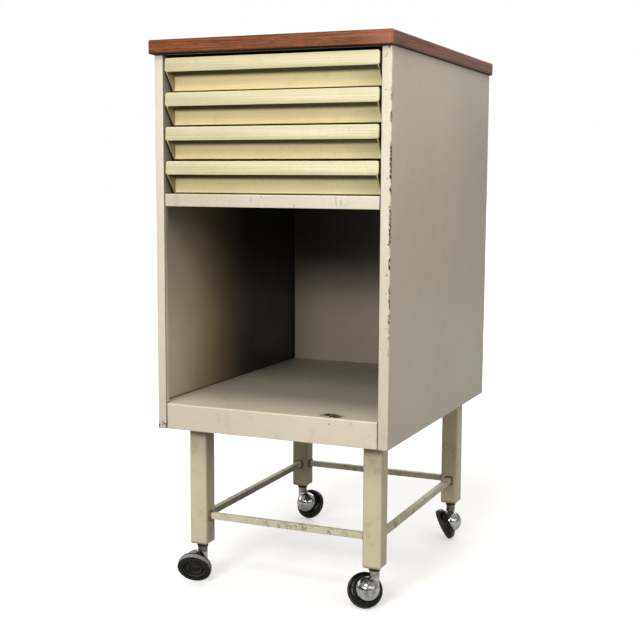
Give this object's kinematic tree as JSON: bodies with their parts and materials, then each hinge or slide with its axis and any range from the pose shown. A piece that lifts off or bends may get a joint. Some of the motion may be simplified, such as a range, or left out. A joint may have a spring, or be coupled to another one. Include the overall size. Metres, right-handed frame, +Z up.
{
  "type": "rolling pedestal cabinet",
  "caption": "Rolling steel pedestal cabinet with pull-lip drawers over an open compartment, a wood laminate top and a welded leg frame on ball casters.",
  "frame": {"origin": "on the floor under the middle of the worktop", "axes": "+Z up, -Y towards the front with the drawers, +X to the right seen from the front"},
  "size_m": [0.41, 0.551, 0.898],
  "materials": {
    "teak_laminate": "satin laminate",
    "worktop_core": "raw chipboard",
    "carcass_paint": "semi-gloss enamel, worn",
    "drawer_paint": "semi-gloss enamel",
    "frame_paint": "semi-gloss enamel, worn",
    "zinc": "zinc plated",
    "chrome": "polished",
    "socket": "dark bronzed",
    "axle_steel": "ground steel",
    "hub_plastic": "moulded, scuffed",
    "tyre_rubber": "worn rubber"
  },
  "bodies": {
    "cabinet": {"worktop_core": "worktop_core", "worktop_laminate": "teak_laminate", "worktop_edging": "teak_laminate", "top_panel": "carcass_paint", "side_panel_left": "carcass_paint", "side_panel_right": "carcass_paint", "back_panel": "carcass_paint", "divider_shelf": "carcass_paint", "bottom_shelf": "carcass_paint", "runner_posts_left": "zinc", "runner_posts_right": "zinc", "leg_plates": "frame_paint", "leg_plate_screws": "zinc", "worktop_screws": "zinc", "weld_beads": "frame_paint", "drawer_runners_1": "zinc", "drawer_runners_2": "zinc", "drawer_runners_3": "zinc", "drawer_runners_4": "zinc", "stretcher_front": "frame_paint", "stretcher_back": "frame_paint", "stretcher_left": "frame_paint", "stretcher_right": "frame_paint", "leg_front_left": "frame_paint", "caster_socket_front_left": "socket", "leg_front_right": "frame_paint", "caster_socket_front_right": "socket", "leg_back_left": "frame_paint", "caster_socket_back_left": "socket", "leg_back_right": "frame_paint", "caster_socket_back_right": "socket"},
    "drawer_1": {"drawer_front_1": "drawer_paint", "drawer_tray_1": "drawer_paint"},
    "drawer_2": {"drawer_front_2": "drawer_paint", "drawer_tray_2": "drawer_paint"},
    "drawer_3": {"drawer_front_3": "drawer_paint", "drawer_tray_3": "drawer_paint"},
    "drawer_4": {"drawer_front_4": "drawer_paint", "drawer_tray_4": "drawer_paint"},
    "caster_front_left": {"caster_stem_front_left": "zinc", "caster_hood_front_left": "chrome", "caster_axle_front_left": "axle_steel"},
    "wheel_front_left": {"wheel_hub_front_left": "hub_plastic", "wheel_tyre_front_left": "tyre_rubber"},
    "caster_front_right": {"caster_stem_front_right": "zinc", "caster_hood_front_right": "chrome", "caster_axle_front_right": "axle_steel"},
    "wheel_front_right": {"wheel_hub_front_right": "hub_plastic", "wheel_tyre_front_right": "tyre_rubber"},
    "caster_back_left": {"caster_stem_back_left": "zinc", "caster_hood_back_left": "chrome", "caster_axle_back_left": "axle_steel"},
    "wheel_back_left": {"wheel_hub_back_left": "hub_plastic", "wheel_tyre_back_left": "tyre_rubber"},
    "caster_back_right": {"caster_stem_back_right": "zinc", "caster_hood_back_right": "chrome", "caster_axle_back_right": "axle_steel"},
    "wheel_back_right": {"wheel_hub_back_right": "hub_plastic", "wheel_tyre_back_right": "tyre_rubber"}
  },
  "joints": [
    {"name": "drawer_1_slide", "type": "slide", "parent": "cabinet", "child": "drawer_1", "axis": [0, -1, 0], "range_m": [0, 0.36]},
    {"name": "drawer_2_slide", "type": "slide", "parent": "cabinet", "child": "drawer_2", "axis": [0, -1, 0], "range_m": [0, 0.36]},
    {"name": "drawer_3_slide", "type": "slide", "parent": "cabinet", "child": "drawer_3", "axis": [0, -1, 0], "range_m": [0, 0.36]},
    {"name": "drawer_4_slide", "type": "slide", "parent": "cabinet", "child": "drawer_4", "axis": [0, -1, 0], "range_m": [0, 0.36]},
    {"name": "swivel_front_left", "type": "hinge", "parent": "cabinet", "child": "caster_front_left", "pos_m": [-0.1558, -0.1964, 0.068], "axis": [0, 0, 1], "continuous": true},
    {"name": "roll_front_left", "type": "hinge", "parent": "caster_front_left", "child": "wheel_front_left", "pos_m": [-0.16351, -0.21399, 0.02497], "axis": [0.2285, -0.8529, -0.4695], "continuous": true},
    {"name": "swivel_front_right", "type": "hinge", "parent": "cabinet", "child": "caster_front_right", "pos_m": [0.1558, -0.1964, 0.068], "axis": [0, 0, 1], "continuous": true},
    {"name": "roll_front_right", "type": "hinge", "parent": "caster_front_right", "child": "wheel_front_right", "pos_m": [0.13697, -0.19262, 0.02497], "axis": [-0.5675, 0.6764, -0.4695], "continuous": true},
    {"name": "swivel_back_left", "type": "hinge", "parent": "cabinet", "child": "caster_back_left", "pos_m": [-0.1558, 0.2201, 0.068], "axis": [0, 0, 1], "continuous": true},
    {"name": "roll_back_left", "type": "hinge", "parent": "caster_back_left", "child": "wheel_back_left", "pos_m": [-0.14033, 0.23148, 0.02497], "axis": [0.2285, 0.8529, -0.4695], "continuous": true},
    {"name": "swivel_back_right", "type": "hinge", "parent": "cabinet", "child": "caster_back_right", "pos_m": [0.1558, 0.2201, 0.068], "axis": [0, 0, 1], "continuous": true},
    {"name": "roll_back_right", "type": "hinge", "parent": "caster_back_right", "child": "wheel_back_right", "pos_m": [0.14442, 0.20463, 0.02497], "axis": [-0.8529, -0.2285, -0.4695], "continuous": true}
  ]
}
